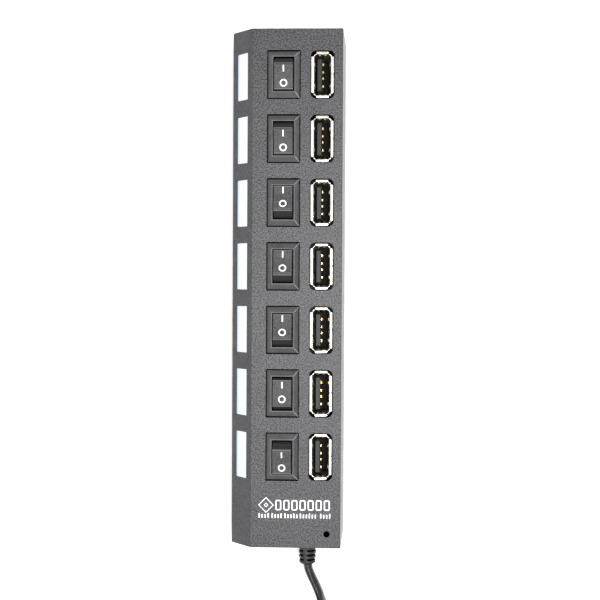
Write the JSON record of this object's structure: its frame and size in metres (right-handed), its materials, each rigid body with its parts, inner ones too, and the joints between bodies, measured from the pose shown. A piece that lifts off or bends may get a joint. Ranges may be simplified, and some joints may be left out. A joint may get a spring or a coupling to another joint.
{
  "type": "usb hub",
  "caption": "Long chamfered bar that lies on its back, with upright USB-A sockets in a row, a rocker switch and a lit window for each, and a captive cable",
  "frame": {"origin": "on the surface the hub lies on, under the middle of the case, without its cable", "axes": "+Z out of the front face, which carries the sockets; +Y along the case, away from the cable; +X across it, towards the sockets and away from the chamfer"},
  "size_m": [0.0475, 0.2503, 0.0273],
  "materials": {
    "case_plastic": "black ABS with a fine spark-eroded texture",
    "switch_plastic": "black moulded switch plastic, smoother than the case",
    "insulator_plastic": "black moulding inside the sockets",
    "nickel": "nickel-plated folded sheet, slightly warm",
    "board_green": "green solder mask",
    "light_plastic": "clear plastic lit from behind, cold white",
    "lamp_epoxy": "water-clear lamp resin",
    "chip_epoxy": "matt moulded chip body",
    "screw_steel": "dark plated steel",
    "foot_rubber": "soft black rubber",
    "cable_jacket": "black PVC, satin",
    "capacitor_sleeve": "dark blue shrink sleeve"
  },
  "bodies": {
    "hub": {"top_cover": "case_plastic", "bottom_cover": "case_plastic", "light_guide": "light_plastic", "main_pcb": "board_green", "usb_shell_1": "nickel", "usb_shell_2": "nickel", "usb_shell_3": "nickel", "usb_shell_4": "nickel", "usb_shell_5": "nickel", "usb_shell_6": "nickel", "usb_shell_7": "nickel", "usb_insulator_1": "insulator_plastic", "usb_insulator_2": "insulator_plastic", "usb_insulator_3": "insulator_plastic", "usb_insulator_4": "insulator_plastic", "usb_insulator_5": "insulator_plastic", "usb_insulator_6": "insulator_plastic", "usb_insulator_7": "insulator_plastic", "switch_housing_1": "switch_plastic", "switch_housing_2": "switch_plastic", "switch_housing_3": "switch_plastic", "switch_housing_4": "switch_plastic", "switch_housing_5": "switch_plastic", "switch_housing_6": "switch_plastic", "switch_housing_7": "switch_plastic", "port_led_1": "lamp_epoxy", "port_led_2": "lamp_epoxy", "port_led_3": "lamp_epoxy", "port_led_4": "lamp_epoxy", "port_led_5": "lamp_epoxy", "port_led_6": "lamp_epoxy", "port_led_7": "lamp_epoxy", "power_led": "lamp_epoxy", "hub_chip_1": "chip_epoxy", "hub_chip_2": "chip_epoxy", "crystal": "nickel", "capacitor": "capacitor_sleeve", "dc_jack": "insulator_plastic", "case_screw_1": "screw_steel", "case_screw_2": "screw_steel", "case_screw_3": "screw_steel", "case_screw_4": "screw_steel", "rubber_foot_1": "foot_rubber", "rubber_foot_2": "foot_rubber", "rubber_foot_3": "foot_rubber", "rubber_foot_4": "foot_rubber", "strain_relief": "cable_jacket", "cable_lead": "cable_jacket", "cable_coil": "cable_jacket", "cable_tail": "cable_jacket", "plug_overmould": "cable_jacket", "plug_shell": "nickel", "plug_insulator": "insulator_plastic"},
    "switch_1": {"rocker_1": "switch_plastic"},
    "switch_2": {"rocker_2": "switch_plastic"},
    "switch_3": {"rocker_3": "switch_plastic"},
    "switch_4": {"rocker_4": "switch_plastic"},
    "switch_5": {"rocker_5": "switch_plastic"},
    "switch_6": {"rocker_6": "switch_plastic"},
    "switch_7": {"rocker_7": "switch_plastic"}
  },
  "joints": [
    {"name": "switch_1_rock", "type": "hinge", "parent": "hub", "child": "switch_1", "pos_m": [-0.0011, 0.0672, 0.0213], "axis": [1, 0, 0], "range_deg": [-30, 0]},
    {"name": "switch_2_rock", "type": "hinge", "parent": "hub", "child": "switch_2", "pos_m": [-0.0011, 0.0472, 0.0213], "axis": [1, 0, 0], "range_deg": [-30, 0]},
    {"name": "switch_3_rock", "type": "hinge", "parent": "hub", "child": "switch_3", "pos_m": [-0.0011, 0.0272, 0.0213], "axis": [1, 0, 0], "range_deg": [0, 30]},
    {"name": "switch_4_rock", "type": "hinge", "parent": "hub", "child": "switch_4", "pos_m": [-0.0011, 0.0072, 0.0213], "axis": [1, 0, 0], "range_deg": [0, 30]},
    {"name": "switch_5_rock", "type": "hinge", "parent": "hub", "child": "switch_5", "pos_m": [-0.0011, -0.0128, 0.0213], "axis": [1, 0, 0], "range_deg": [0, 30]},
    {"name": "switch_6_rock", "type": "hinge", "parent": "hub", "child": "switch_6", "pos_m": [-0.0011, -0.0328, 0.0213], "axis": [1, 0, 0], "range_deg": [-9.75, 20.25]},
    {"name": "switch_7_rock", "type": "hinge", "parent": "hub", "child": "switch_7", "pos_m": [-0.0011, -0.0528, 0.0213], "axis": [1, 0, 0], "range_deg": [-30, 0]}
  ]
}
